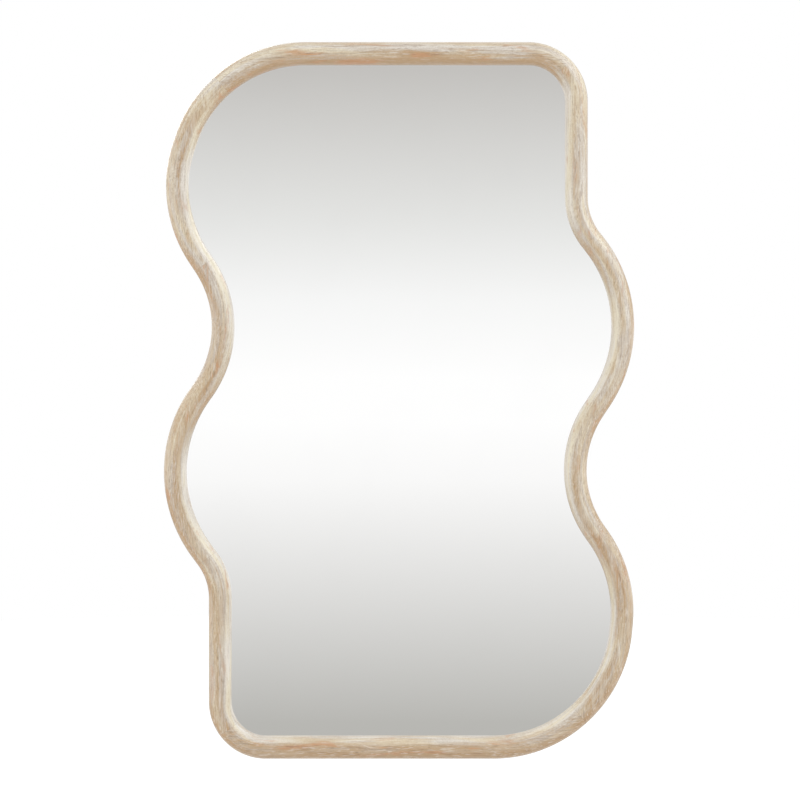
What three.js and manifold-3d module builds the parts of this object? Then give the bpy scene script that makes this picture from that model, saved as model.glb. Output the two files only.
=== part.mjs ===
import * as THREE from 'three';
import { mergeVertices } from 'three/addons/utils/BufferGeometryUtils.js';
import Module from 'manifold-3d';

// Framed wall mirror with a wavy outline.
//
// Millimetres. +X is to the right as the mirror is looked at, +Z is up, and +Y runs from the front
// to the wall. Y = 0 is the rear face of the back board, and X = Z = 0 is the middle of the frame.
//
// The frame is eight wooden pieces, butt-jointed and dowelled end to end. Glass, foam sheet and
// back board lie in two steps cut into its back, and the board is screwed to the outer step. Two
// D-ring hangers and two bumpers are fixed to the flat land that is left round the outside.

// ---------------------------------------------------------------- driving dimensions

const frameWidth = 600; // over the widest bulges
const frameHeight = 915;

// The outer edge is a polygon with rounded corners. A corner has an inset from the side of the box
// round the mirror, a height above the middle and the radius of its rounding. The corner of a bulge
// lies outside the box, because its rounding only comes up to it.
const top = frameHeight / 2;
const rightStraight = 59; // inset of the straight side at the upper right
const leftStraight = 57; // inset of the straight side at the lower left
const topLeft = { inset: 56, height: top, radius: 175 };
const topRight = { inset: rightStraight, height: top, radius: 76 };
const rightShoulder = { inset: rightStraight, height: 234, radius: 73 };
const rightUpperBulge = { inset: -43.2, height: 104, radius: 184 };
const rightWaist = { inset: 87, height: -92, radius: 123 };
const rightLowerBulge = { inset: -5, height: -219, radius: 178 };
const bottomRight = { inset: 18, height: -top, radius: 178 };
const bottomLeft = { inset: leftStraight, height: -top, radius: 73 };
const leftShoulder = { inset: leftStraight, height: -229, radius: 70 };
const leftLowerBulge = { inset: -44.6, height: -92, radius: 184 };
const leftWaist = { inset: 88, height: 91, radius: 126 };
const leftUpperBulge = { inset: -17, height: 249, radius: 178 };

// Each piece of the frame starts at a point along one of those bends (0 is where the bend starts,
// 1 where it ends) and runs clockwise to the start of the next piece.
const framePieces = [
  { name: 'top_rail', bend: 'topLeft', along: 0.41 },
  { name: 'right_upper_stile', bend: 'topRight', along: 0.52 },
  { name: 'right_middle_stile', bend: 'rightShoulder', along: 1 },
  { name: 'right_lower_stile', bend: 'rightWaist', along: 1 },
  { name: 'bottom_rail', bend: 'bottomRight', along: 0.5 },
  { name: 'left_lower_stile', bend: 'bottomLeft', along: 0.6 },
  { name: 'left_middle_stile', bend: 'leftShoulder', along: 1 },
  { name: 'left_upper_stile', bend: 'leftWaist', along: 1 },
];

const frame = {
  width: 29, // seen from the front
  crownRise: 14, // depth of the half-round front
  lip: 1.5, // straight inner edge between the crown and the glass
  glassStep: 8, // width of the step that the glass lies on
  boardStep: 8, // width of the step that the back board lies on
  backChamfer: 1.5, // broken edge round the outside of the back
};

const glass = { thickness: 3, edgeClearance: 1 };
const foam = { thickness: 1 };
const board = { thickness: 4, edgeClearance: 0.5, recess: 1.5 };

const dowel = { radius: 3, length: 24, chamfer: 0.8, endRoom: 1 };
// Places of the two dowels of a joint: in from the outer edge, and forward of the frame's back.
const dowelPlaces = [
  { name: 'outer', inset: 8.5, depth: 10 },
  { name: 'inner', inset: 21.5, depth: 16 },
];

const boardScrew = { headRadius: 3, headHeight: 1.7, radius: 1.5, length: 14, sink: 0.2, spacing: 250 };
const hangerScrew = { headRadius: 3, crownRadius: 2, headHeight: 2, radius: 1.5, length: 13 };
const screwTip = 2.5; // length of the point of every screw
const screwTipRadius = 0.4;
const pilotRoom = 0.6; // how much deeper a screw's hole is than the screw

const hanger = {
  height: 276, // of the middle of the strap, above the middle of the frame
  inset: 8.6, // from the outer edge of the frame to the middle of the strap
  strapWidth: 9.5,
  strapLength: 36, // from the ring's bar to the lower end
  strapThickness: 1,
  tailLength: 12, // of the strap's folded end, from the ring's bar
  upperScrew: 8, // screw distances below the ring's bar
  lowerScrew: 29,
  wireRadius: 1.1,
  ringInnerWidth: 11,
  ringSide: 7, // straight side between the bar and the round end
};

const bumper = { radius: 5, height: 5, crownRadius: 3.5, shoulder: 3.6 };
const bumperPlaces = [
  { name: 'right_bumper', along: 0.27 },
  { name: 'left_bumper', along: 0.83 },
]; // along the bottom rail, from its right end

const clearance = 0.3; // between a pin, screw or wire and the hole that it goes through
const arcSag = 0.25; // how far a facet of a bend may lie inside the true arc
const roundSides = 10; // facets round a screw, dowel or bumper
const wireSides = 8; // facets round the ring's wire
const crownSteps = 10; // facets over the half-round front
const overshoot = 1; // how far a cutter stands out of the face that it cuts
const weld = 1e-4; // points closer than this are one point

// ---------------------------------------------------------------- planes worked out from them

const boardFront = -board.thickness;
const foamFront = boardFront - foam.thickness;
const glassFront = foamFront - glass.thickness;
const frameBack = board.recess;
const frameFront = glassFront - frame.lip - frame.crownRise;

// Distances in from the outer edge of the frame.
const glassStepInset = frame.width - frame.glassStep;
const boardStepInset = glassStepInset - frame.boardStep;
const boardScrewInset = (boardStepInset + glassStepInset) / 2;
const landInset = (frame.backChamfer + boardStepInset) / 2; // middle of the flat land

// ---------------------------------------------------------------- materials

function paint(color, roughness, metalness) {
  return new THREE.MeshStandardMaterial({ color, roughness, metalness });
}

const materials = {
  wood: () => paint(0xd8c8b0, 0.7, 0),
  mirror: () => paint(0xe6e8e6, 0.03, 1),
  foam: () => paint(0xf1f1ee, 0.95, 0),
  board: () => paint(0x9a7b5a, 0.85, 0),
  dowel: () => paint(0xd9b98a, 0.75, 0),
  zinc: () => paint(0xb9bcc0, 0.35, 1),
  rubber: () => paint(0x3a3a3b, 0.8, 0),
};

// ---------------------------------------------------------------- joining and cutting solids

const wasm = await Module();
wasm.setup();

function toSolid(geometry) {
  const bare = geometry.clone();
  bare.deleteAttribute('normal');
  bare.deleteAttribute('uv');
  const merged = mergeVertices(bare, weld);
  return new wasm.Manifold(new wasm.Mesh({
    numProp: 3,
    vertProperties: new Float32Array(merged.attributes.position.array),
    triVerts: new Uint32Array(merged.index.array),
  }));
}

function toGeometry(solid) {
  const mesh = solid.getMesh();
  const geometry = new THREE.BufferGeometry();
  geometry.setAttribute('position', new THREE.BufferAttribute(mesh.vertProperties, 3));
  geometry.setIndex(new THREE.BufferAttribute(mesh.triVerts, 1));
  return geometry;
}

function cut(geometry, cutters) {
  let solid = toSolid(geometry);
  for (const cutter of cutters) {
    solid = solid.subtract(toSolid(cutter));
  }
  return toGeometry(solid);
}

// ---------------------------------------------------------------- the outline

// Direction to the left of a heading, which is outwards on a clockwise outline.
const outward = (heading) => ({ x: -Math.sin(heading), z: Math.cos(heading) });

const wrapAngle = (angle) => Math.atan2(Math.sin(angle), Math.cos(angle));

const distance = (from, to) => Math.hypot(to.x - from.x, to.z - from.z);

function headingBetween(from, to) {
  return Math.atan2(to.z - from.z, to.x - from.x);
}

function placeCorner(side, name, corner) {
  return { name, x: side * (frameWidth / 2 - corner.inset), z: corner.height, radius: corner.radius };
}

// The polygon, clockwise from the top left as it is looked at from the front.
const outlineCorners = [
  placeCorner(-1, 'topLeft', topLeft),
  placeCorner(1, 'topRight', topRight),
  placeCorner(1, 'rightShoulder', rightShoulder),
  placeCorner(1, 'rightUpperBulge', rightUpperBulge),
  placeCorner(1, 'rightWaist', rightWaist),
  placeCorner(1, 'rightLowerBulge', rightLowerBulge),
  placeCorner(1, 'bottomRight', bottomRight),
  placeCorner(-1, 'bottomLeft', bottomLeft),
  placeCorner(-1, 'leftShoulder', leftShoulder),
  placeCorner(-1, 'leftLowerBulge', leftLowerBulge),
  placeCorner(-1, 'leftWaist', leftWaist),
  placeCorner(-1, 'leftUpperBulge', leftUpperBulge),
];

// Turns the rounded polygon into bends: each an arc with a centre, a first heading and a turn.
function makeBends(corners) {
  const count = corners.length;
  const sides = corners.map((corner, i) => {
    const next = corners[(i + 1) % count];
    return { heading: headingBetween(corner, next), length: distance(corner, next) };
  });
  const turns = corners.map((corner, i) => wrapAngle(sides[i].heading - sides.at(i - 1).heading));
  const reach = corners.map((corner, i) => corner.radius * Math.tan(Math.abs(turns[i]) / 2));
  // A rounding that would run into its neighbour's is limited by the length of their shared side.
  const share = sides.map((side, i) => Math.min(1, side.length / (reach[i] + reach[(i + 1) % count])));
  return corners.map((corner, i) => {
    const limit = Math.min(share[i], share.at(i - 1));
    const radius = corner.radius * limit;
    const heading = sides.at(i - 1).heading;
    const side = Math.sign(turns[i]);
    const start = {
      x: corner.x - reach[i] * limit * Math.cos(heading),
      z: corner.z - reach[i] * limit * Math.sin(heading),
    };
    const left = outward(heading);
    const centre = { x: start.x + side * radius * left.x, z: start.z + side * radius * left.z };
    return { name: corner.name, radius, heading, turn: turns[i], side, centre };
  });
}

const bends = makeBends(outlineCorners);

// A station is a place on the outer edge with the heading there. Its order counts bends: whole
// numbers are the starts of bends, and halves are their ends.
function stationOn(bendIndex, along) {
  const bend = bends[bendIndex];
  const heading = bend.heading + bend.turn * along;
  const left = outward(heading);
  return {
    x: bend.centre.x - bend.side * bend.radius * left.x,
    z: bend.centre.z - bend.side * bend.radius * left.z,
    heading,
    order: bendIndex + along / 2,
  };
}

function makeOutline() {
  return bends.flatMap((bend, bendIndex) => {
    const step = 2 * Math.acos(1 - arcSag / bend.radius);
    const steps = Math.ceil(Math.abs(bend.turn) / step);
    return Array.from({ length: steps + 1 }, (_, i) => stationOn(bendIndex, i / steps));
  });
}

const outline = makeOutline();

// The place that lies a given distance in from the outer edge at a station.
function insetPoint(station, inset) {
  const left = outward(station.heading);
  return { x: station.x - left.x * inset, z: station.z - left.z * inset };
}

// Stations from one order to another, clockwise, with the two ends exactly on them.
function stationsBetween(first, last) {
  const same = 1e-3; // orders closer than this are one place
  const turnOver = last.order < first.order ? bends.length : 0;
  const secondRound = outline.map((s) => ({ ...s, order: s.order + bends.length }));
  const between = [...outline, ...secondRound]
    .filter((s) => s.order > first.order + same && s.order < last.order + turnOver - same);
  return [first, ...between, last];
}

function stepLengths(stations) {
  return stations.slice(1).map((station, i) => distance(stations[i], station));
}

function runLength(stations) {
  return stepLengths(stations).reduce((sum, length) => sum + length, 0);
}

// The place a given share of the way along a run of stations, with the heading there.
function alongRun(stations, share) {
  const lengths = stepLengths(stations);
  let left = share * runLength(stations);
  let i = 0;
  while (i < lengths.length - 1 && left > lengths[i]) {
    left -= lengths[i];
    i += 1;
  }
  const from = stations[i];
  const to = stations[i + 1];
  const part = left / lengths[i];
  return {
    x: from.x + (to.x - from.x) * part,
    z: from.z + (to.z - from.z) * part,
    heading: from.heading + wrapAngle(to.heading - from.heading) * part,
  };
}

// X of the outer edge at a height, on the right (side 1) or on the left (side -1).
function edgeAtHeight(height, side) {
  const crossings = outline.flatMap((from, i) => {
    const to = outline[(i + 1) % outline.length];
    const crosses = (from.z - height) * (to.z - height) <= 0 && from.z !== to.z;
    return crosses ? [from.x + ((to.x - from.x) * (height - from.z)) / (to.z - from.z)] : [];
  });
  return side * Math.max(...crossings.map((x) => side * x));
}

// ---------------------------------------------------------------- frame pieces

// A path with one section at each station, square to the outer edge and flat to the wall.
class FrameRun extends THREE.Curve {
  constructor(stations) {
    super();
    this.stations = stations;
  }

  stationAt(t) {
    return this.stations[Math.round(t * (this.stations.length - 1))];
  }

  getPoint(t, target = new THREE.Vector3()) {
    const station = this.stationAt(t);
    return target.set(station.x, 0, station.z);
  }

  getUtoTmapping(u) {
    return u;
  }

  computeFrenetFrames(steps) {
    const headings = Array.from({ length: steps + 1 }, (_, i) => this.stationAt(i / steps).heading);
    return {
      tangents: headings.map((h) => new THREE.Vector3(Math.cos(h), 0, Math.sin(h))),
      normals: headings.map(() => new THREE.Vector3(0, 1, 0)),
      binormals: headings.map((h) => new THREE.Vector3(outward(h).x, 0, outward(h).z)),
    };
  }
}

// Section of the frame: x is the depth, y is 0 on the outer edge and negative towards the glass.
function frameSection() {
  const halfWidth = frame.width / 2;
  const crownBase = frameFront + frame.crownRise;
  const crown = Array.from({ length: crownSteps + 1 }, (_, i) => {
    const angle = (Math.PI * i) / crownSteps;
    const depth = crownBase - frame.crownRise * Math.sin(angle);
    return new THREE.Vector2(depth, halfWidth * (Math.cos(angle) - 1));
  });
  return new THREE.Shape([
    ...crown,
    new THREE.Vector2(glassFront, -frame.width),
    new THREE.Vector2(glassFront, -glassStepInset),
    new THREE.Vector2(boardFront, -glassStepInset),
    new THREE.Vector2(boardFront, -boardStepInset),
    new THREE.Vector2(frameBack, -boardStepInset),
    new THREE.Vector2(frameBack, -frame.backChamfer),
    new THREE.Vector2(frameBack - frame.backChamfer, 0),
  ]);
}

function bendIndexOf(name) {
  return bends.findIndex((bend) => bend.name === name);
}

const section = frameSection();

const runs = framePieces.map((piece, i) => {
  const next = framePieces[(i + 1) % framePieces.length];
  const first = stationOn(bendIndexOf(piece.bend), piece.along);
  const last = stationOn(bendIndexOf(next.bend), next.along);
  const stations = stationsBetween(first, last);
  return { name: piece.name, first, last, stations };
});

function sweepFrame(stations) {
  return new THREE.ExtrudeGeometry(section, {
    steps: stations.length - 1,
    extrudePath: new FrameRun(stations),
    curveSegments: 1,
  });
}

// ---------------------------------------------------------------- dowels

function dowelGeometry() {
  const half = dowel.length / 2;
  return new THREE.LatheGeometry([
    new THREE.Vector2(0, -half),
    new THREE.Vector2(dowel.radius - dowel.chamfer, -half),
    new THREE.Vector2(dowel.radius, -half + dowel.chamfer),
    new THREE.Vector2(dowel.radius, half - dowel.chamfer),
    new THREE.Vector2(dowel.radius - dowel.chamfer, half),
    new THREE.Vector2(0, half),
  ], roundSides);
}

function dowelHole() {
  const length = dowel.length + 2 * dowel.endRoom;
  return new THREE.CylinderGeometry(dowel.radius + clearance, dowel.radius + clearance, length, roundSides);
}

// Turns a body of revolution from the Y axis to the run of the frame at a station.
function dowelPose(station, place) {
  const at = insetPoint(station, place.inset);
  const position = new THREE.Vector3(at.x, frameBack - place.depth, at.z);
  const direction = new THREE.Vector3(Math.cos(station.heading), 0, Math.sin(station.heading));
  const turn = new THREE.Quaternion().setFromUnitVectors(new THREE.Vector3(0, 1, 0), direction);
  return { position, turn };
}

function dowelHolesAt(station) {
  return dowelPlaces.map((place) => {
    const pose = dowelPose(station, place);
    return dowelHole().applyQuaternion(pose.turn).translate(...pose.position);
  });
}

// ---------------------------------------------------------------- screws

// A screw along Y with its head's top at y = 0 and its point at y = -length.
function screwGeometry(head, radius, length) {
  return new THREE.LatheGeometry([
    new THREE.Vector2(0, -length),
    new THREE.Vector2(screwTipRadius, -length),
    new THREE.Vector2(radius, -length + screwTip),
    ...head,
    new THREE.Vector2(0, 0),
  ], roundSides);
}

function boardScrewGeometry() {
  const head = [
    new THREE.Vector2(boardScrew.radius, -boardScrew.headHeight),
    new THREE.Vector2(boardScrew.headRadius, 0),
  ];
  return screwGeometry(head, boardScrew.radius, boardScrew.length);
}

function hangerScrewGeometry() {
  const head = [
    new THREE.Vector2(hangerScrew.radius, -hangerScrew.headHeight),
    new THREE.Vector2(hangerScrew.headRadius, -hangerScrew.headHeight),
    new THREE.Vector2(hangerScrew.headRadius, -hangerScrew.headHeight / 2),
    new THREE.Vector2(hangerScrew.crownRadius, 0),
  ];
  return screwGeometry(head, hangerScrew.radius, hangerScrew.length + hangerScrew.headHeight);
}

// A round hole along Y, from one plane to another.
function holeAlongY(radius, x, z, from, to) {
  return new THREE.CylinderGeometry(radius, radius, Math.abs(to - from), roundSides)
    .translate(x, (from + to) / 2, z);
}

// ---------------------------------------------------------------- glass, foam sheet and back board

// A flat sheet of the outline's shape, inset from the outer edge, between two planes.
function sheetGeometry(inset, front, back) {
  const points = outline.map((station) => {
    const at = insetPoint(station, inset);
    return new THREE.Vector2(at.x, at.z);
  });
  return new THREE.ExtrudeGeometry(new THREE.Shape(points), { depth: back - front, bevelEnabled: false })
    .rotateX(Math.PI / 2)
    .translate(0, back, 0);
}

// Screws stand at even distances along each piece of the frame.
const boardScrewPlaces = runs.flatMap((run) => {
  const count = Math.max(1, Math.round(runLength(run.stations) / boardScrew.spacing));
  return Array.from({ length: count }, (_, i) => {
    const station = alongRun(run.stations, (i + 0.5) / count);
    return { run: run.name, ...insetPoint(station, boardScrewInset) };
  });
});

function boardScrewHole(place) {
  const mouth = boardScrew.headRadius + clearance + boardScrew.sink;
  const bore = boardScrew.radius + clearance;
  const slope = (boardScrew.headRadius - boardScrew.radius) / boardScrew.headHeight;
  return new THREE.LatheGeometry([
    new THREE.Vector2(0, boardFront - overshoot),
    new THREE.Vector2(bore, boardFront - overshoot),
    new THREE.Vector2(bore, -(mouth - bore) / slope),
    new THREE.Vector2(mouth, 0),
    new THREE.Vector2(mouth, overshoot),
    new THREE.Vector2(0, overshoot),
  ], roundSides).translate(place.x, 0, place.z);
}

function boardGeometry() {
  const plain = sheetGeometry(boardStepInset + board.edgeClearance, boardFront, 0);
  return cut(plain, boardScrewPlaces.map(boardScrewHole));
}

// ---------------------------------------------------------------- D-ring hangers

const eyeInnerRadius = hanger.wireRadius + clearance;
const eyeOuterRadius = eyeInnerRadius + hanger.strapThickness;
const ringHalfWidth = hanger.ringInnerWidth / 2 + hanger.wireRadius; // to the middle of the wire
const ringReach = hanger.ringSide + ringHalfWidth; // from the bar to the middle of the far wire

// At rest the ring leans against the frame: its far end lies just clear of the land.
const ringLean = Math.asin((eyeOuterRadius - hanger.wireRadius - clearance) / ringReach);

const hangerSides = [
  { name: 'left', side: -1 },
  { name: 'right', side: 1 },
].map(({ name, side }) => {
  const x = edgeAtHeight(hanger.height, side) - side * hanger.inset;
  return { name, x, barHeight: hanger.height + hanger.strapLength / 2 };
});

// Side view of the strap, with y out from the land and z up from the ring's bar. It runs up the
// land, round the bar, and back down on itself.
function strapShape() {
  const thickness = hanger.strapThickness;
  const foldAngle = -Math.PI / 3; // where the folded end leaves the round of the eye
  const shape = new THREE.Shape();
  shape.moveTo(0, -hanger.strapLength);
  shape.lineTo(thickness, -hanger.strapLength);
  shape.lineTo(thickness, -hanger.tailLength);
  shape.lineTo(2 * thickness, -hanger.tailLength);
  shape.lineTo(2 * thickness, -2 * eyeOuterRadius);
  shape.absarc(eyeOuterRadius, 0, eyeOuterRadius, foldAngle, Math.PI, false);
  const eye = new THREE.Path();
  eye.absarc(eyeOuterRadius, 0, eyeInnerRadius, 0, 2 * Math.PI, true);
  shape.holes.push(eye);
  return shape;
}

function strapGeometry() {
  const solid = new THREE.ExtrudeGeometry(strapShape(), {
    depth: hanger.strapWidth,
    bevelEnabled: false,
    curveSegments: roundSides,
  });
  // The shape's x, y and extrusion become Y, Z and X.
  solid.applyMatrix4(new THREE.Matrix4().makeBasis(
    new THREE.Vector3(0, 1, 0),
    new THREE.Vector3(0, 0, 1),
    new THREE.Vector3(1, 0, 0),
  )).translate(-hanger.strapWidth / 2, 0, 0);
  const radius = hangerScrew.radius + clearance;
  const reach = 2 * eyeOuterRadius;
  return cut(solid, [
    holeAlongY(radius, 0, -hanger.upperScrew, -reach, reach),
    holeAlongY(radius, 0, -hanger.lowerScrew, -reach, reach),
  ]);
}

// The ring, with its bar on the X axis and its round end up.
class RingBow extends THREE.CurvePath {
  constructor() {
    super();
    const bow = new THREE.Path();
    bow.moveTo(-ringHalfWidth, 0);
    bow.lineTo(-ringHalfWidth, hanger.ringSide);
    bow.absarc(0, hanger.ringSide, ringHalfWidth, Math.PI, 0, true);
    bow.lineTo(ringHalfWidth, 0);
    const corners = bow.getPoints(roundSides).map((p) => new THREE.Vector3(p.x, 0, p.y));
    this.corners = corners.filter((p, i) => i === 0 || p.distanceTo(corners[i - 1]) > weld);
  }

  getPoint(t) {
    return this.corners[Math.round(t * (this.corners.length - 1))].clone();
  }

  getUtoTmapping(u) {
    return u;
  }

  computeFrenetFrames(steps) {
    const tangents = this.corners.map((p, i) => {
      const before = this.corners[Math.max(i - 1, 0)];
      const after = this.corners[Math.min(i + 1, steps)];
      return after.clone().sub(before).normalize();
    });
    const normal = new THREE.Vector3(0, 1, 0);
    return {
      tangents,
      normals: tangents.map(() => normal),
      binormals: tangents.map((tangent) => tangent.clone().cross(normal)),
    };
  }
}

function wireSection() {
  const points = Array.from({ length: wireSides }, (_, i) => {
    const angle = (2 * Math.PI * (i + 0.5)) / wireSides;
    return new THREE.Vector2(hanger.wireRadius * Math.cos(angle), hanger.wireRadius * Math.sin(angle));
  });
  return new THREE.Shape(points);
}

function ringGeometry() {
  const path = new RingBow();
  const bow = new THREE.ExtrudeGeometry(wireSection(), { steps: path.corners.length - 1, extrudePath: path });
  const barLength = 2 * (ringHalfWidth + hanger.wireRadius);
  const bar = new THREE.CylinderGeometry(hanger.wireRadius, hanger.wireRadius, barLength, wireSides)
    .rotateZ(Math.PI / 2);
  return toGeometry(toSolid(bow).add(toSolid(bar)));
}

// ---------------------------------------------------------------- bumpers

function bumperGeometry() {
  return new THREE.LatheGeometry([
    new THREE.Vector2(0, 0),
    new THREE.Vector2(bumper.radius, 0),
    new THREE.Vector2(bumper.radius, bumper.shoulder),
    new THREE.Vector2(bumper.crownRadius, bumper.height),
    new THREE.Vector2(0, bumper.height),
  ], roundSides);
}

// ---------------------------------------------------------------- the assembly

const mirror = new THREE.Group();

function addMesh(parent, name, geometry, material) {
  geometry.computeVertexNormals();
  const mesh = new THREE.Mesh(geometry, material);
  mesh.name = name;
  parent.add(mesh);
  return mesh;
}

// Holes in a frame piece for the board screws that stand along it.
function boardPilotHoles(runName) {
  const radius = boardScrew.radius + clearance;
  const depth = boardScrew.length + boardScrew.sink + pilotRoom;
  return boardScrewPlaces
    .filter((place) => place.run === runName)
    .map((place) => holeAlongY(radius, place.x, place.z, 0, -depth));
}

// Holes for the screws of both hangers. They only meet the two pieces that carry the hangers.
function hangerPilotHoles() {
  const radius = hangerScrew.radius + clearance;
  const bottom = frameBack - hangerScrew.length - pilotRoom;
  return hangerSides.flatMap(({ x, barHeight }) => [hanger.upperScrew, hanger.lowerScrew]
    .map((below) => holeAlongY(radius, x, barHeight - below, frameBack + overshoot, bottom)));
}

function addFrame(parent) {
  for (const run of runs) {
    const cutters = [
      ...dowelHolesAt(run.first),
      ...dowelHolesAt(run.last),
      ...boardPilotHoles(run.name),
      ...hangerPilotHoles(),
    ];
    addMesh(parent, run.name, cut(sweepFrame(run.stations), cutters), materials.wood());
  }
}

function addDowels(parent) {
  for (const run of runs) {
    for (const place of dowelPlaces) {
      const pose = dowelPose(run.first, place);
      const mesh = addMesh(parent, `dowel_${run.name}_${place.name}`, dowelGeometry(), materials.dowel());
      mesh.position.copy(pose.position);
      mesh.quaternion.copy(pose.turn);
    }
  }
}

function addSheets(parent) {
  const glassInset = glassStepInset + glass.edgeClearance;
  addMesh(parent, 'mirror_glass', sheetGeometry(glassInset, glassFront, foamFront), materials.mirror());
  addMesh(parent, 'foam_sheet', sheetGeometry(glassInset, foamFront, boardFront), materials.foam());
  addMesh(parent, 'back_board', boardGeometry(), materials.board());
}

function addBoardScrews(parent) {
  boardScrewPlaces.forEach((place, i) => {
    const name = `board_screw_${String(i + 1).padStart(2, '0')}`;
    const mesh = addMesh(parent, name, boardScrewGeometry(), materials.zinc());
    mesh.position.set(place.x, -boardScrew.sink, place.z);
  });
}

function addHanger(parent, { name, x, barHeight }) {
  const group = new THREE.Group();
  group.position.set(x, frameBack, barHeight);
  parent.add(group);
  addMesh(group, `${name}_hanger_strap`, strapGeometry(), materials.zinc());
  const ring = addMesh(group, `${name}_hanger_ring`, ringGeometry(), materials.zinc());
  ring.position.y = eyeOuterRadius;
  ring.rotation.x = ringLean;
  const layers = { upper: 2, lower: 1 }; // thicknesses of strap under each screw head
  for (const [which, count] of Object.entries(layers)) {
    const screw = addMesh(group, `${name}_hanger_${which}_screw`, hangerScrewGeometry(), materials.zinc());
    const below = which === 'upper' ? hanger.upperScrew : hanger.lowerScrew;
    screw.position.set(0, count * hanger.strapThickness + hangerScrew.headHeight, -below);
  }
}

function addBumpers(parent) {
  const bottomRail = runs.find((run) => run.name === 'bottom_rail');
  for (const { name, along } of bumperPlaces) {
    const at = insetPoint(alongRun(bottomRail.stations, along), landInset);
    const mesh = addMesh(parent, name, bumperGeometry(), materials.rubber());
    mesh.position.set(at.x, frameBack, at.z);
  }
}

addFrame(mirror);
addDowels(mirror);
addSheets(mirror);
addBoardScrews(mirror);
hangerSides.forEach((side) => addHanger(mirror, side));
addBumpers(mirror);

export default mirror;
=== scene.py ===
"""Wall mirror with a wavy outline in a whitewashed half-round wood frame, dressed over its CAD frame."""
import math
import random

import bmesh
import bpy
from mathutils import Matrix, Vector, noise


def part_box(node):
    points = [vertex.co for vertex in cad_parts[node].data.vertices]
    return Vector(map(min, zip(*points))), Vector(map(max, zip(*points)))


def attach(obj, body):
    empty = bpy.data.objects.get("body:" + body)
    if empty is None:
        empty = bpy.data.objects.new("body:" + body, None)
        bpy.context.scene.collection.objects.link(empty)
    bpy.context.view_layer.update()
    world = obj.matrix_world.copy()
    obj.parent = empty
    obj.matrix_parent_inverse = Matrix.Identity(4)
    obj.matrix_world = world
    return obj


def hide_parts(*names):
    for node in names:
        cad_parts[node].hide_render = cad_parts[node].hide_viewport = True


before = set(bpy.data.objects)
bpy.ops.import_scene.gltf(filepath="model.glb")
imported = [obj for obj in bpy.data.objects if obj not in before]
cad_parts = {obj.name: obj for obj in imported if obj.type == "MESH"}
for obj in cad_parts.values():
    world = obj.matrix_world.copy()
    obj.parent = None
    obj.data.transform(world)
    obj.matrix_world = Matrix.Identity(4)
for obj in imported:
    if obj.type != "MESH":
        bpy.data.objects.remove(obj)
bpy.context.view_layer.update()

random.seed(7)
MM = 0.001

# ---------------------------------------------------------------- sizes, as in the CAD (mm)

FRAME_WIDTH = 600
FRAME_HEIGHT = 915
TOP = FRAME_HEIGHT / 2

# Corners of the outline's polygon, clockwise from the top left: side (-1 is left), inset from the
# box, height above the middle, radius of the rounding.
CORNERS = {
    "topLeft": (-1, 56, TOP, 175),
    "topRight": (1, 59, TOP, 76),
    "rightShoulder": (1, 59, 234, 73),
    "rightUpperBulge": (1, -43.2, 104, 184),
    "rightWaist": (1, 87, -92, 123),
    "rightLowerBulge": (1, -5, -219, 178),
    "bottomRight": (1, 18, -TOP, 178),
    "bottomLeft": (-1, 57, -TOP, 73),
    "leftShoulder": (-1, 57, -229, 70),
    "leftLowerBulge": (-1, -44.6, -92, 184),
    "leftWaist": (-1, 88, 91, 126),
    "leftUpperBulge": (-1, -17, 249, 178),
}

# Frame pieces, clockwise: the bend and the share of it at which each starts, the axis of its grain
# and how much more or less wash it has than the rest.
PIECES = [
    ("top_rail", "topLeft", 0.41, "X", 0.12),
    ("right_upper_stile", "topRight", 0.52, "Z", 0.05),
    ("right_middle_stile", "rightShoulder", 1, "Z", 0.0),
    ("right_lower_stile", "rightWaist", 1, "Z", -0.18),
    ("bottom_rail", "bottomRight", 0.5, "X", -0.38),
    ("left_lower_stile", "bottomLeft", 0.6, "Z", -0.05),
    ("left_middle_stile", "leftShoulder", 1, "Z", -0.14),
    ("left_upper_stile", "leftWaist", 1, "Z", 0.08),
]

SECTION_WIDTH = 29
CROWN_RISE = 14
LIP = 1.5
STEP_WIDTH = 8  # of the step under the glass and of the one under the back board
GLASS_THICKNESS = 3
FOAM_THICKNESS = 1
BOARD_THICKNESS = 4
FRAME_BACK = 1.5  # the back board's rear face is at depth 0
BACK_ROUND = 1.5
SANDED = 0.2  # taken off the frame's outer edge by sanding
GLASS_ROOM = 1  # between the edge of the glass and the frame
BOARD_ROOM = 0.5
CLEARANCE = 0.3  # round a screw or wire in its hole

GLASS_STEP_INSET = SECTION_WIDTH - STEP_WIDTH
BOARD_STEP_INSET = GLASS_STEP_INSET - STEP_WIDTH
BOARD_FRONT = -BOARD_THICKNESS
GLASS_BACK = BOARD_FRONT - FOAM_THICKNESS
GLASS_FRONT = GLASS_BACK - GLASS_THICKNESS
CROWN_BASE = GLASS_FRONT - LIP

BEND_STEP = math.radians(2)
LINE_STEP = 6
CROWN_STEPS = 40
BACK_STEPS = 5


# ---------------------------------------------------------------- outline

def outward(heading):
    return Vector((-math.sin(heading), 0, math.cos(heading)))


def wrap(angle):
    return math.atan2(math.sin(angle), math.cos(angle))


def make_bends():
    """The rounded polygon as arcs: name -> centre, radius, side, first heading, turn."""
    points = {}
    for name, (hand, inset, height, _) in CORNERS.items():
        points[name] = Vector((hand * (FRAME_WIDTH / 2 - inset), 0, height))
    names = list(CORNERS)
    bends = {}
    for i, name in enumerate(names):
        here = points[name]
        into = here - points[names[i - 1]]
        out = points[names[(i + 1) % len(names)]] - here
        heading = math.atan2(into.z, into.x)
        turn = wrap(math.atan2(out.z, out.x) - heading)
        radius = CORNERS[name][3]
        reach = radius * math.tan(abs(turn) / 2)
        side = 1 if turn > 0 else -1
        centre = here - into.normalized() * reach + outward(heading) * (side * radius)
        bends[name] = (centre, radius, side, heading, turn)
    return bends


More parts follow.
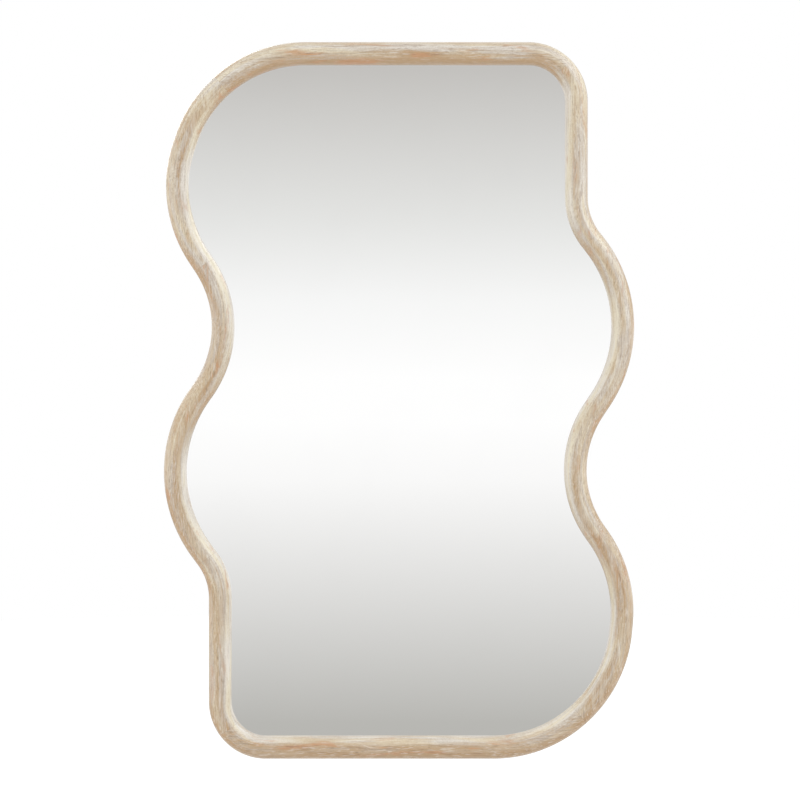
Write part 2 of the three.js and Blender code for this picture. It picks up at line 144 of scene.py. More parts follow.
BENDS = make_bends()
BEND_NAMES = list(BENDS)


def station(bend_index, along):
    """A place on the outer edge: order round the outline, point, heading."""
    centre, radius, side, first, turn = BENDS[BEND_NAMES[bend_index]]
    heading = first + turn * along
    return bend_index + along / 2, centre - outward(heading) * (side * radius), heading


def between(a, b):
    """Extra places along the straight line from one station to the next."""
    length = (b[1] - a[1]).length
    count = max(1, math.ceil(length / LINE_STEP))
    span = (b[0] - a[0]) % len(BENDS)
    return [(a[0] + span * i / count, a[1].lerp(b[1], i / count), a[2]) for i in range(1, count)]


def make_outline():
    stations = []
    for index, name in enumerate(BEND_NAMES):
        steps = math.ceil(abs(BENDS[name][4]) / BEND_STEP)
        arc = [station(index, i / steps) for i in range(steps + 1)]
        if stations:
            stations += between(stations[-1], arc[0])
        stations += arc
    return stations + between(stations[-1], stations[0])


OUTLINE = make_outline()


def run_of(piece_index):
    """Stations of one frame piece, with its two ends exactly on its joints."""
    _, bend, share, _, _ = PIECES[piece_index]
    _, next_bend, next_share, _, _ = PIECES[(piece_index + 1) % len(PIECES)]
    first = station(BEND_NAMES.index(bend), share)
    last = station(BEND_NAMES.index(next_bend), next_share)
    span = (last[0] - first[0]) % len(BENDS)
    near = 0.004  # a station closer to a joint than this, in bends, would fall on it
    inside = [((s[0] - first[0]) % len(BENDS), s[1], s[2]) for s in OUTLINE]
    inside = sorted((s for s in inside if near < s[0] < span - near), key=lambda s: s[0])
    return [first, *inside, last]


def inset_point(place, inset):
    return place[1] - outward(place[2]) * inset


# ---------------------------------------------------------------- mesh helpers

def new_object(name, mesh, smooth_angle=None):
    piece = bpy.data.objects.new(name, mesh)
    bpy.context.scene.collection.objects.link(piece)
    if smooth_angle is not None:
        mesh.shade_smooth()
        mesh.set_sharp_from_angle(angle=math.radians(smooth_angle))
    return piece


def loft(name, rings, closed=False):
    """A mesh through rings of as many points each, with flat caps unless they close on themselves."""
    mesh = bpy.data.meshes.new(name)
    count = len(rings[0])
    points = [p for ring in rings for p in ring]
    faces = []
    for i in range(len(rings) if closed else len(rings) - 1):
        a, b = i * count, (i + 1) % len(rings) * count
        faces += [(a + j, a + (j + 1) % count, b + (j + 1) % count, b + j) for j in range(count)]
    if not closed:
        faces += [tuple(reversed(range(count))), tuple(range(len(points) - count, len(points)))]
    mesh.from_pydata(points, [], faces)
    mesh.validate()
    fix_normals(mesh)
    return mesh


def fix_normals(mesh):
    edit = bmesh.new()
    edit.from_mesh(mesh)
    bmesh.ops.recalc_face_normals(edit, faces=edit.faces)
    edit.to_mesh(mesh)
    edit.free()


def turned(count, shift=0.0):
    """Angles of as many even steps round a circle, starting a share of a step on."""
    return [2 * math.pi * (i + shift) / count for i in range(count)]


def lathe(name, profile, steps=40):
    """A solid of revolution round Y. profile is (radius, y) in mm, with its two ends on the axis."""
    rings = []
    for radius, y in profile[1:-1]:
        around = [(radius * math.cos(t), radius * math.sin(t)) for t in turned(steps)]
        rings.append([Vector((x, y, z)) * MM for x, z in around])
    return loft(name, rings)


def cut_with(piece, cutters):
    """Takes the cutters out of a piece and removes them."""
    for cutter in cutters:
        change = piece.modifiers.new("cut", "BOOLEAN")
        change.object = cutter
        change.operation = "DIFFERENCE"
        change.solver = "EXACT"
    graph = bpy.context.evaluated_depsgraph_get()
    mesh = bpy.data.meshes.new_from_object(piece.evaluated_get(graph))
    piece.modifiers.clear()
    piece.data = mesh
    for cutter in cutters:
        bpy.data.objects.remove(cutter)


def dress(piece, slot, material, body, *nodes):
    """Gives a piece its material and body, and lets it stand for its CAD nodes."""
    piece.data.materials.clear()
    piece.data.materials.append(material)
    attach(piece, body)
    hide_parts(*nodes)


# ---------------------------------------------------------------- node helpers

SOCKETS = {"metallic": "Metallic", "specular": "Specular IOR Level", "coat": "Coat Weight",
           "coat_roughness": "Coat Roughness", "coat_ior": "Coat IOR"}


class Graph:
    """Short names for the shader nodes that the materials and the world share."""

    def __init__(self, tree):
        self.tree = tree
        self.bsdf = tree.nodes.get("Principled BSDF")

    def node(self, kind, **settings):
        made = self.tree.nodes.new(kind)
        for key, value in settings.items():
            setattr(made, key, value)
        return made

    def put(self, value, socket):
        if isinstance(value, bpy.types.NodeSocket):
            self.tree.links.new(value, socket)
        else:
            socket.default_value = value

    def math(self, operation, a, b=0.0, clamp=False):
        made = self.node("ShaderNodeMath", operation=operation, use_clamp=clamp)
        self.put(a, made.inputs[0])
        self.put(b, made.inputs[1])
        return made.outputs[0]

    def attribute(self, name):
        return self.node("ShaderNodeAttribute", attribute_name=name).outputs["Fac"]

    def object_coordinates(self):
        return self.node("ShaderNodeTexCoord").outputs["Object"]

    def split(self, vector):
        made = self.node("ShaderNodeSeparateXYZ")
        self.put(vector, made.inputs[0])
        return made.outputs

    def combine(self, x, y, z):
        made = self.node("ShaderNodeCombineXYZ")
        for value, socket in zip((x, y, z), made.inputs):
            self.put(value, socket)
        return made.outputs[0]

    def add(self, a, b):
        made = self.node("ShaderNodeVectorMath", operation="ADD")
        self.put(a, made.inputs[0])
        self.put(b, made.inputs[1])
        return made.outputs[0]

    def noise(self, vector, scale, offset=(0, 0, 0), detail=3.0, roughness=0.55, distortion=0.0):
        """Noise with about scale lumps to a metre, a number or one for each axis."""
        mapping = self.node("ShaderNodeMapping")
        self.put(vector, mapping.inputs["Vector"])
        mapping.inputs["Scale"].default_value = scale if isinstance(scale, tuple) else (scale,) * 3
        mapping.inputs["Location"].default_value = offset
        made = self.node("ShaderNodeTexNoise")
        self.put(mapping.outputs[0], made.inputs["Vector"])
        made.inputs["Scale"].default_value = 1.0
        made.inputs["Detail"].default_value = detail
        made.inputs["Roughness"].default_value = roughness
        made.inputs["Distortion"].default_value = distortion
        return made.outputs["Fac"]

    def remap(self, value, low, high, to_low=0.0, to_high=1.0, smooth=True):
        made = self.node("ShaderNodeMapRange", interpolation_type="SMOOTHSTEP" if smooth else "LINEAR")
        self.put(value, made.inputs["Value"])
        ends = {"From Min": low, "From Max": high, "To Min": to_low, "To Max": to_high}
        for key, number in ends.items():
            made.inputs[key].default_value = number
        return made.outputs[0]

    def mix(self, factor, a, b):
        made = self.node("ShaderNodeMix", data_type="RGBA", clamp_factor=True)
        self.put(factor, made.inputs[0])
        self.put(a, made.inputs[6])
        self.put(b, made.inputs[7])
        return made.outputs[2]

    def layers(self, color, *over):
        """Lays colours over another, each given as (strength, colour)."""
        for strength, over_color in over:
            color = self.mix(strength, color, over_color)
        return color

    def bump(self, height, strength, distance):
        made = self.node("ShaderNodeBump")
        made.inputs["Strength"].default_value = strength
        made.inputs["Distance"].default_value = distance
        self.put(height, made.inputs["Height"])
        return made.outputs[0]

    def surface(self, color, roughness, normal=None, **values):
        self.put(color, self.bsdf.inputs["Base Color"])
        self.put(roughness, self.bsdf.inputs["Roughness"])
        if normal is not None:
            self.put(normal, self.bsdf.inputs["Normal"])
        for key, value in values.items():
            self.bsdf.inputs[SOCKETS[key]].default_value = value

    def background(self, color, strength=1.0):
        made = self.node("ShaderNodeBackground")
        self.put(color, made.inputs["Color"])
        made.inputs["Strength"].default_value = strength
        return made.outputs[0]

    def mix_shader(self, factor, a, b):
        made = self.node("ShaderNodeMixShader")
        for value, socket in zip((factor, a, b), made.inputs):
            self.put(value, socket)
        return made.outputs[0]


def new_material(name):
    material = bpy.data.materials.new(name)
    material.use_nodes = True
    return material, Graph(material.node_tree)


def rgb(red, green, blue):
    """A colour given as it looks on a screen, from 0 to 255, turned into linear light."""
    def linear(value):
        share = value / 255
        return share / 12.92 if share <= 0.04045 else ((share + 0.055) / 1.055) ** 2.4
    return (linear(red), linear(green), linear(blue), 1)


# ---------------------------------------------------------------- whitewashed wood

# The warm creams and greys also paint warm light on what looks up, and the tan wood shows as painted
# shade on what looks down.
CREAM_COOL = rgb(247, 239, 226)
CREAM_WARM = rgb(248, 237, 211)
GREY_COOL = rgb(215, 203, 187)
GREY_WARM = rgb(224, 205, 173)
WOOD_PALE = rgb(211, 185, 153)
WOOD_TAN = rgb(197, 162, 120)
WOOD_PEACH = rgb(208, 154, 108)
WOOD_BROWN = rgb(150, 114, 82)
SEAM_BROWN = rgb(126, 106, 88)

GRAIN_SWAY = 0.012  # how far the grain wanders from a straight line, m
WASH_LEVEL = 0.58  # 0 is bare wood and 1 is thick wash
WASH_LAYERS = {"streaks": 0.20, "patches": 0.22, "figure": 0.28, "brush": 0.20, "crumbs": 0.10}
WOOD_RELIEF = 0.00022  # height of the brush marks and of the open grain, m


def grain_noises(g, axis, seed):
    """Noises of the board itself: lines level or upright through it, crumbs in all directions."""
    def along_grain(lengthwise, crosswise):
        if axis == "X":
            return (lengthwise, crosswise, crosswise)
        return (crosswise, crosswise, lengthwise)

    shift = (seed * 1.7, seed * 0.9, seed * 2.3)
    place = g.object_coordinates()
    sway = g.noise(place, 7, shift, detail=1)
    sway = g.remap(sway, 0, 1, -GRAIN_SWAY, GRAIN_SWAY, smooth=False)
    board = g.add(place, g.combine(sway, sway, sway))
    return {
        "figure": g.noise(board, along_grain(7, 470), shift, detail=5, roughness=0.75),
        "rings": g.noise(board, along_grain(4, 110), shift, detail=2, distortion=0.4),
        "dashes": g.noise(board, along_grain(80, 700), shift, detail=1),
        "warm": g.noise(board, along_grain(16, 105), shift, detail=3, distortion=0.5),
        "crumbs": g.noise(place, 450, shift, detail=2),
    }


def wash_noises(g):
    """Noises of the wash, which was brushed along the frame and goes on over its joints."""
    run = g.combine(g.attribute("along"), g.attribute("girth"), 0.0)
    return {
        "brush": g.noise(run, (16, 600, 1), detail=3, roughness=0.6, distortion=0.3),
        "streaks": g.noise(run, (9, 150, 1), detail=4, roughness=0.6, distortion=0.4),
        "patches": g.noise(run, (9, 55, 1), (0, 0, 5), detail=3, distortion=0.8),
        "tint": g.noise(run, (9, 90, 1), (0, 0, 13), detail=2, distortion=0.6),
    }


def wash_thickness_and_painted_light(g, noises, across, upward):
    """How thick the wash lies.

    It is rubbed thin on the inner side of the crest and near the outer edge, and lies thick near the
    glass, partly as painted light that the mirror bounces there. Where it is thin on what looks down,
    that is painted shade."""
    wash_and_painted_shade = g.math("ADD", WASH_LEVEL, g.attribute("wash"))
    for layer, amount in WASH_LAYERS.items():
        wash_and_painted_shade = g.math("ADD", wash_and_painted_shade, g.remap(noises[layer], 0.3, 0.7, -amount, amount, smooth=False))
    crest = g.math("MULTIPLY", g.remap(across, 0.34, 0.54), g.remap(across, 0.62, 0.78, 1.0, 0.0))
    rubbed = g.math("MULTIPLY", crest, g.remap(noises["warm"], 0.38, 0.62, 0.04, 0.28))
    # Thicker wash near the glass: partly wash that gathers there, partly painted light that the mirror
    # bounces onto the rim, left off what looks down.
    rim = g.math("MULTIPLY", g.remap(across, 0.62, 0.90), g.remap(upward, -0.8, -0.3))
    wash_and_painted_shade = g.math("SUBTRACT", wash_and_painted_shade, rubbed)
    wash_and_painted_shade = g.math("SUBTRACT", wash_and_painted_shade, g.remap(across, 0.0, 0.30, 0.22, 0.0))
    wash_and_painted_shade = g.math("ADD", wash_and_painted_shade, g.math("MULTIPLY", rim, 0.38))
    # Painted shade: the wash thins on what looks down, so the darker wood shows there.
    return g.math("ADD", wash_and_painted_shade, g.remap(upward, -0.8, 0.1, -0.90, 0.0))


def wash_tint_and_painted_light(g, noises, across, upward):
    """Yellow of the wash: in patches, and painted warm light on the outer half of what looks up."""
    # Painted warm light: the wash turns yellow on the outer half of what looks up.
    top = g.remap(upward, 0.5, 0.85, 0.0, 0.6)
    painted_top_light = g.math("MULTIPLY", top, g.remap(across, 0.35, 0.65, 1.0, 0.0))
    return g.math("ADD", g.remap(noises["tint"], 0.38, 0.62), painted_top_light, clamp=True)


def washed_color(g, noises, wash_and_painted_shade, tint, upward):
    """Pale, tan and peach wood under the wash, with warm stains that show through it.

    The wood is darkened on what looks down, which is painted shade.
    """
    # Painted shade: the wood is darker on what looks down.
    painted_shade_below = g.remap(upward, -0.8, 0.1, -0.6, 0.0)
    paleness = g.math("ADD", g.remap(noises["rings"], 0.38, 0.64), painted_shade_below)
    wood = g.mix(paleness, WOOD_TAN, WOOD_PALE)
    thin_wash = g.mix(tint, GREY_COOL, GREY_WARM)
    thick_wash = g.mix(tint, CREAM_COOL, CREAM_WARM)
    return g.layers(
        wood,
        (g.remap(noises["warm"], 0.54, 0.72, 0.0, 0.75), WOOD_PEACH),
        (g.remap(wash_and_painted_shade, -0.15, 0.70), thin_wash),
        (g.remap(wash_and_painted_shade, 0.40, 1.05), thick_wash),
        (g.remap(noises["warm"], 0.58, 0.72, 0.0, 0.55), WOOD_PEACH),
    )


def grain_marks(g, noises, color, across):
    """Draws grain lines, dark pores, pores filled with wash, and the seam at a joint."""
    open_grain = g.remap(across, 0.62, 0.85, 1.0, 0.4)
    lines = g.math("MULTIPLY", open_grain, g.remap(noises["figure"], 0.50, 0.66, 0.0, 0.52))
    dark = g.math("MULTIPLY", open_grain, g.remap(noises["dashes"], 0.60, 0.70, 0.0, 0.40))
    pale = g.math("MULTIPLY", open_grain, g.remap(noises["dashes"], 0.44, 0.28, 0.0, 0.45))
    seam = g.remap(g.attribute("seam"), 0.0001, 0.0006, 0.16, 0.0)
    return g.layers(
        color,
        (lines, WOOD_BROWN),
        (dark, WOOD_BROWN),
        (pale, CREAM_COOL),
        (seam, SEAM_BROWN),
    )


def whitewashed_wood(name, grain_axis, seed):
    """Straight-grained pale wood, cut across by the bends, under a thin brushed white wash.

    It reads what store_run gives each point: along and girth are in metres, and across goes from
    0 on the outer edge to 1 at the glass."""
    material, g = new_material(name)
    noises = {**grain_noises(g, grain_axis, seed), **wash_noises(g)}
    across = g.attribute("across")
    upward = g.split(g.node("ShaderNodeNewGeometry").outputs["Normal"])["Z"]
    # The wash carries painted shade on what looks down and painted light near the glass; the tint
    # carries painted warm light on what looks up.
    wash_and_painted_shade = wash_thickness_and_painted_light(g, noises, across, upward)
    tint = wash_tint_and_painted_light(g, noises, across, upward)
    color = washed_color(g, noises, wash_and_painted_shade, tint, upward)
    color = grain_marks(g, noises, color, across)

    figure_height = g.math("MULTIPLY", noises["figure"], 0.6)
    relief = g.math("SUBTRACT", g.math("MULTIPLY", noises["brush"], 0.6), figure_height)
    relief = g.math("SUBTRACT", relief, g.remap(noises["dashes"], 0.58, 0.70, 0.0, 0.6))
    normal = g.bump(relief, 0.6, WOOD_RELIEF)
    roughness = g.remap(wash_and_painted_shade, 0.1, 0.9, 0.44, 0.56)
    g.surface(color, roughness, normal, specular=0.4, coat=1.0, coat_roughness=0.26, coat_ior=1.6)
    return material


# ---------------------------------------------------------------- frame pieces

HAND_WORK = 0.25  # depth of the sanded unevenness of the crown, mm
HAND_WORK_LUMPS = 0.035  # lumps of it to a mm
SEAM_EASE = 0.03  # how far the edges of a joint are broken, mm
SEAM_WIDTH = 0.4  # how far from the joint that starts, mm


def section_points():
    """The frame's section as (inset, depth), from the glass over the crown and round the back."""
    half = (SECTION_WIDTH - SANDED) / 2
    points = [(SECTION_WIDTH, GLASS_FRONT)]
    for i in range(CROWN_STEPS + 1):
        angle = math.pi * i / CROWN_STEPS
        inset = SANDED + half + half * math.cos(angle)
        points.append((inset, CROWN_BASE - CROWN_RISE * math.sin(angle)))
    side_end = FRAME_BACK - BACK_ROUND
    points += [(SANDED, CROWN_BASE + (side_end - CROWN_BASE) * share) for share in (1 / 3, 2 / 3)]
    for i in range(BACK_STEPS + 1):
        angle = math.pi / 2 * i / BACK_STEPS
        round_inset = SANDED + BACK_ROUND * (1 - math.cos(angle))
        points.append((round_inset, FRAME_BACK - BACK_ROUND * (1 - math.sin(angle))))
    points += [(BOARD_STEP_INSET / 2, FRAME_BACK), (BOARD_STEP_INSET, FRAME_BACK)]
    points += [(BOARD_STEP_INSET, BOARD_FRONT), (GLASS_STEP_INSET, BOARD_FRONT)]
    points += [(GLASS_STEP_INSET, GLASS_FRONT)]
    return points


SECTION = section_points()


def worn(inset, depth, where, ease):
    """A point of the section, moved inwards a little by hand sanding and at a joint's edge."""
    if depth > CROWN_BASE:
        return inset, depth
    half = SECTION_WIDTH / 2
    slope = Vector(((inset - half) / half ** 2, (depth - CROWN_BASE) / CROWN_RISE ** 2)).normalized()
    wave = 0.5 + 0.5 * noise.noise(Vector((where.x, where.z, inset)) * HAND_WORK_LUMPS)
    amount = HAND_WORK * wave * math.sin(math.pi * inset / SECTION_WIDTH) + ease
    return inset - slope.x * amount, depth - slope.y * amount


def nudge(place, distance):
    """The same station moved a little along its heading."""
    order, point, heading = place
    return order, point + Vector((math.cos(heading), 0, math.sin(heading))) * distance, heading


def measured_run(stations):
    """(station, length so far) along a piece, with one more close to each end for the broken edge."""
    lengths = [0.0]
    for a, b in zip(stations, stations[1:]):
        lengths.append(lengths[-1] + (b[1] - a[1]).length)
    total = lengths[-1]
    places = [(stations[0], 0.0), (nudge(stations[0], SEAM_WIDTH), SEAM_WIDTH)]
    places += list(zip(stations, lengths))[1:-1]
    places += [(nudge(stations[-1], -SEAM_WIDTH), total - SEAM_WIDTH), (stations[-1], total)]
    return places


def frame_piece(index, run_start):
    """Makes one piece of the frame, run_start mm along the outline, and returns where it ends."""
    name, _, _, grain_axis, _ = PIECES[index]
    places = measured_run(run_of(index))
    total = places[-1][1]
    rings = []
    for place, length in places:
        ease = SEAM_EASE if length in (0.0, total) else 0.0
        ring = []
        for inset, depth in SECTION:
            moved, deep = worn(inset, depth, place[1], ease)
            point = inset_point(place, moved)
            ring.append(Vector((point.x, deep, point.z)) * MM)
        rings.append(ring)
    mesh = loft(f"{name}_wood", rings)
    store_run(mesh, index, [length for _, length in places], run_start)
    piece = new_object(f"{name}_wood", mesh, smooth_angle=40)
    finish = whitewashed_wood(f"{name}_finish", grain_axis, index + 1)
    dress(piece, "whitewashed_wood", finish, "frame", name)
    return run_start + total


def wash_at(index, share):
    """How much more wash a piece has at a share of its length, blended into its neighbours."""
    own = PIECES[index][4]
    neighbour = PIECES[index - 1 if share < 0.5 else (index + 1) % len(PIECES)][4]
    return own + (neighbour - own) / 2 * abs(2 * share - 1)


def store_run(mesh, index, lengths, run_start):
    """Gives each point its place along the frame, round the section and across it, for the finish.

    Each also gets its distance from the nearest joint and the amount of wash there."""
    girths = [0.0]
    for a, b in zip(SECTION, SECTION[1:]):
        girths.append(girths[-1] + math.dist(a, b))
    total = lengths[-1]
    values = {"along": [], "girth": [], "across": [], "seam": [], "wash": []}
    for length in lengths:
        for (inset, _), girth in zip(SECTION, girths):
            values["along"].append((run_start + length) * MM)
            values["girth"].append(girth * MM)
            values["across"].append(inset / SECTION_WIDTH)
            values["seam"].append(min(length, total - length) * MM)
            values["wash"].append(wash_at(index, length / total))
    for key, numbers in values.items():
        mesh.attributes.new(key, "FLOAT", "POINT").data.foreach_set("value", numbers)


# ---------------------------------------------------------------- mirror glass

ARRIS = 0.4  # width of the ground edges of the glass
SILVER = (0.998, 0.998, 0.996, 1)
SILVER_HAZE = (0.990, 0.990, 0.988, 1)


def mirror_material():
    """Silvered glass: neutral, with a trace of haze and dust that shows in its roughness."""
    material, g = new_material("silvered_glass")
    place = g.object_coordinates()
    haze = g.remap(g.noise(place, 9, detail=4), 0.45, 0.75)
    specks = g.remap(g.noise(place, 700, detail=1), 0.74, 0.80)
    roughness = g.math("ADD", g.math("MULTIPLY", haze, 0.012), g.math("MULTIPLY", specks, 0.05))
    g.surface(g.mix(haze, SILVER, SILVER_HAZE), roughness, metallic=1.0)
    return material


def sheet_rings(inset, planes):
    """Rings of the outline, one for each (extra inset, depth), for a flat sheet with shaped edges."""
    rings = []
    for extra, depth in planes:
        ring = [inset_point(place, inset + extra) for place in OUTLINE]
        rings.append([Vector((p.x, depth, p.z)) * MM for p in ring])
    return rings


def eased_sheet(inset, front, back, edge):
    """Rings of a flat sheet with a broken edge on both faces."""
    return sheet_rings(inset, [(edge, front), (0, front + edge), (0, back - edge), (edge, back)])


def mirror_glass():
    rings = eased_sheet(GLASS_STEP_INSET + GLASS_ROOM, GLASS_FRONT, GLASS_BACK, ARRIS)
    piece = new_object("mirror_pane", loft("mirror_pane", rings))
    dress(piece, "mirror_glass", mirror_material(), "frame", "mirror_glass")


# ---------------------------------------------------------------- sizes of the screws (mm)

SCREW_RADIUS = 1.5  # over the thread
SCREW_ROOT = 1.15  # between the turns of the thread
SCREW_PITCH = 1.2
POINT_LENGTH = 2.2
POINT_RADIUS = 0.25
PLAIN_BELOW_HEAD = 2.6  # without thread
PLAIN_ABOVE_POINT = 0.4
HEAD_RADIUS = 3

FLAT_HEAD_LENGTH = 14
FLAT_HEAD_HEIGHT = 1.7
FLAT_HEAD_RIM = 0.15
FLAT_HEAD_ROOM = 0.05  # between the head and the radius that its CAD solid has
HEAD_SINK = 0.2  # of a flat head, below the board's face

PAN_HEAD_LENGTH = 15  # with the head
PAN_HEAD_HEIGHT = 2
PAN_HEAD_EDGE = 0.1
PAN_HEAD_DOME = 1.2
DOME_ANGLES = (0, 0.35, 0.7, 1.05, 1.35)

CROSS_DEPTH = 1.5
CROSS_TOP = (1.9, 0.35)  # half length and half width of a blade at the head's face
CROSS_TIP = (0.5, 0.2)
CROSS_OVERSHOOT = 0.5


# ---------------------------------------------------------------- back board and foam sheet

BOARD_EDGE = 0.3  # width of the broken edges of the board
SINK_SIDES = 24


def fibreboard_material():
    """Pressed wood fibre: matted in paler and darker clumps, with flecks of bark."""
    material, g = new_material("fibreboard")
    place = g.object_coordinates()
    fibres = g.noise(place, 1100, detail=4, roughness=0.7)
    clouds = g.noise(place, 9, detail=3)
    matting = g.noise(place, 150, detail=4, roughness=0.65, distortion=0.6)
    flecks = g.noise(place, (500, 500, 1300), detail=2)
    color = g.layers(
        g.mix(g.remap(clouds, 0.3, 0.7), rgb(189, 157, 122), rgb(193, 162, 127)),
        (g.remap(matting, 0.45, 0.70, 0.0, 0.45), rgb(210, 183, 148)),
        (g.remap(matting, 0.50, 0.30, 0.0, 0.40), rgb(166, 133, 98)),
        (g.remap(fibres, 0.35, 0.70, 0.0, 0.40), rgb(164, 132, 98)),
        (g.remap(flecks, 0.62, 0.72, 0.0, 0.50), rgb(140, 108, 78)),
    )
    roughness = g.remap(fibres, 0.3, 0.7, 0.72, 0.9)
    g.surface(color, roughness, g.bump(fibres, 0.3, 0.00015), specular=0.3)
    return material


def foam_material():
    """White closed-cell foam."""
    material, g = new_material("white_foam")
    cells = g.noise(g.object_coordinates(), 1500, detail=2)
    color = g.mix(cells, rgb(236, 236, 232), rgb(246, 246, 243))
    g.surface(color, 0.9, g.bump(cells, 0.3, 0.0001))
    return material


def screw_places():
    """Middle of each board screw's CAD node, in mm."""
    places = {}
    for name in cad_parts:
        if name.startswith("board_screw"):
            low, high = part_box(name)
            places[name] = (low + high) / 2 / MM
    return places


def countersink_profile():
    """(radius, y) of a screw's hole through the board, with its cone at the board's rear face."""
    hole = SCREW_RADIUS + CLEARANCE
    mouth = HEAD_RADIUS + CLEARANCE + HEAD_SINK
    past = 1  # how far the cutter stands out of both faces
    front = BOARD_FRONT - past
    return [(0, front), (hole, front), (hole, -FLAT_HEAD_HEIGHT), (mouth, 0), (mouth, past), (0, past)]


def back_board():
    rings = eased_sheet(BOARD_STEP_INSET + BOARD_ROOM, BOARD_FRONT, 0, BOARD_EDGE)
    piece = new_object("fibreboard_back", loft("fibreboard_back", rings))
    cutters = []
    for place in screw_places().values():
        cutter = new_object("sink", lathe("sink", countersink_profile(), SINK_SIDES))
        cutter.location = (place.x * MM, 0, place.z * MM)
        cutters.append(cutter)
    bpy.context.view_layer.update()
    cut_with(piece, cutters)
    dress(piece, "back_board", fibreboard_material(), "frame", "back_board")


# ---------------------------------------------------------------- screws

def zinc_material(name, tint):
    """Zinc-plated steel: bluish grey with faint clouding, fine scratches and a dull sheen."""
    material, g = new_material(name)
    place = g.object_coordinates()
    clouds = g.noise(place, 260, detail=4)
    scratches = g.noise(place, (2600, 2600, 240), detail=2)
    color = g.mix(g.remap(clouds, 0.3, 0.7), tint, rgb(205, 207, 208))
    roughness = g.math("ADD", g.remap(clouds, 0.3, 0.7, 0.24, 0.38), g.math("MULTIPLY", scratches, 0.08))
    g.surface(color, roughness, g.bump(scratches, 0.12, 0.00005), metallic=1.0)
    return material


def level_rectangle(half_sizes, y):
    """The four corners of a rectangle that is square to Y."""
    half_length, half_width = half_sizes
    signs = ((-1, -1), (1, -1), (1, 1), (-1, 1))
    return [Vector((half_length * x, y, half_width * z)) * MM for x, z in signs]


def cross_cutters():
    """Two crossed tapered blades, for the drive recess of a screw whose head's top is at y = 0."""
    cutters = []
    for turn in (0, math.pi / 2):
        rings = [level_rectangle(CROSS_TOP, CROSS_OVERSHOOT), level_rectangle(CROSS_TIP, -CROSS_DEPTH)]
        cutter = new_object("blade", loft("blade", rings))
        cutter.rotation_euler.y = turn
        cutters.append(cutter)
    bpy.context.view_layer.update()
    return cutters


def thread(start, end):
    """(radius, y) steps of a screw's thread, from its end towards the head."""
    points = []
    y = start
    while y < end:
        points += [(SCREW_ROOT, y), (SCREW_RADIUS, y + SCREW_PITCH / 2)]
        y += SCREW_PITCH
    return points


def screw_mesh(name, head, length):
    """A screw along Y with its head's top at y = 0 and its point at y = -length."""
    point = [(0, -length), (POINT_RADIUS, -length), (SCREW_ROOT, -length + POINT_LENGTH)]
    shank = thread(-length + POINT_LENGTH + PLAIN_ABOVE_POINT, -PLAIN_BELOW_HEAD)
    piece = new_object(name, lathe(name, [*point, *shank, *head, (0, 0)]))
    cut_with(piece, cross_cutters())
    mesh = piece.data
    bpy.data.objects.remove(piece)
    return mesh


def flat_head():
    rim = HEAD_RADIUS - FLAT_HEAD_ROOM
    return [(SCREW_RADIUS, -FLAT_HEAD_HEIGHT), (rim, -FLAT_HEAD_RIM), (rim, 0)]


def pan_head():
    below = [
        (SCREW_RADIUS, -PAN_HEAD_HEIGHT),
        (HEAD_RADIUS - PAN_HEAD_EDGE, -PAN_HEAD_HEIGHT),
        (HEAD_RADIUS, -PAN_HEAD_HEIGHT + PAN_HEAD_EDGE),
    ]
    dome = [(HEAD_RADIUS * math.cos(a), PAN_HEAD_DOME * (math.sin(a) - 1)) for a in DOME_ANGLES]
    return below + dome


def place_screw(node, mesh, material, top):
    """Puts a copy of a screw where its CAD node is, turned to an angle of its own."""
    low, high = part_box(node)
    middle = (low + high) / 2
    piece = new_object(f"{node}_steel", mesh.copy(), smooth_angle=35)
    turn = Matrix.Rotation(random.uniform(0, math.pi / 2), 4, "Y")
    piece.data.transform(Matrix.Translation((middle.x, top, middle.z)) @ turn)
    dress(piece, "screw_steel", material, "frame", node)


def screws():
    material = zinc_material("zinc_screw", rgb(176, 179, 183))
    board_screw = screw_mesh("board_screw", flat_head(), FLAT_HEAD_LENGTH)
    for name in screw_places():
        place_screw(name, board_screw, material, -HEAD_SINK * MM)
    hanger_screw = screw_mesh("hanger_screw", pan_head(), PAN_HEAD_LENGTH)
    for side in ("left", "right"):
        for which in ("upper", "lower"):
            name = f"{side}_hanger_{which}_screw"
            place_screw(name, hanger_screw, material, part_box(name)[1].y)


# ---------------------------------------------------------------- D-ring hangers

STRAP_WIDTH = 9.5
STRAP_THICKNESS = 1.0
STRAP_LENGTH = 36
STRAP_EDGE = 0.25  # broken edge of the strap
STRAP_END_STEPS = (0, 0.3, 0.8, 1.5, 2.4, 3.4, 4.75)  # from the half-round lower end
STRAP_END_SQUARE = 0.5  # least square of the half width there, so that the tip stays a face
STRAP_RISE = (-24, -14, -6, 0)  # heights of the steps above it, from the ring's bar
TAIL_LENGTH = 12
TAIL_NECK = ((2.6, -3.3), (1.75, -4.9))  # (y, z) where the folded end comes down to the strap
TAIL_RISE = (-6.4, -9)
WIRE_RADIUS = 1.1
EYE_OUTER = WIRE_RADIUS + CLEARANCE + STRAP_THICKNESS  # the strap's round about the bar
EYE_STEPS = 16
EYE_TURN = math.pi + math.pi / 3
RING_HALF = 6.6  # half width of the ring, to the middle of its wire
RING_SIDE = 7
RING_CORNER = 2.0
RING_BAR_STEPS = (-3, 0, 3)
RING_CORNER_STEPS = 6
RING_BOW_STEPS = 24
WIRE_SIDES = 16
RING_LEAN = math.asin((EYE_OUTER - WIRE_RADIUS - CLEARANCE) / (RING_SIDE + RING_HALF))


def strap_path():
    """Middle line of the strap as (y, z), from its lower end up, round the bar and down again."""
    half = STRAP_THICKNESS / 2
    middle = EYE_OUTER - half
    path = [(half, -STRAP_LENGTH + step) for step in STRAP_END_STEPS]
    path += [(half, z) for z in STRAP_RISE]
    for i in range(1, EYE_STEPS + 1):
        angle = math.pi - EYE_TURN * i / EYE_STEPS
        path.append((EYE_OUTER + middle * math.cos(angle), middle * math.sin(angle)))
    path += TAIL_NECK
    path += [(half * 3, z) for z in (*TAIL_RISE, -TAIL_LENGTH)]
    return path


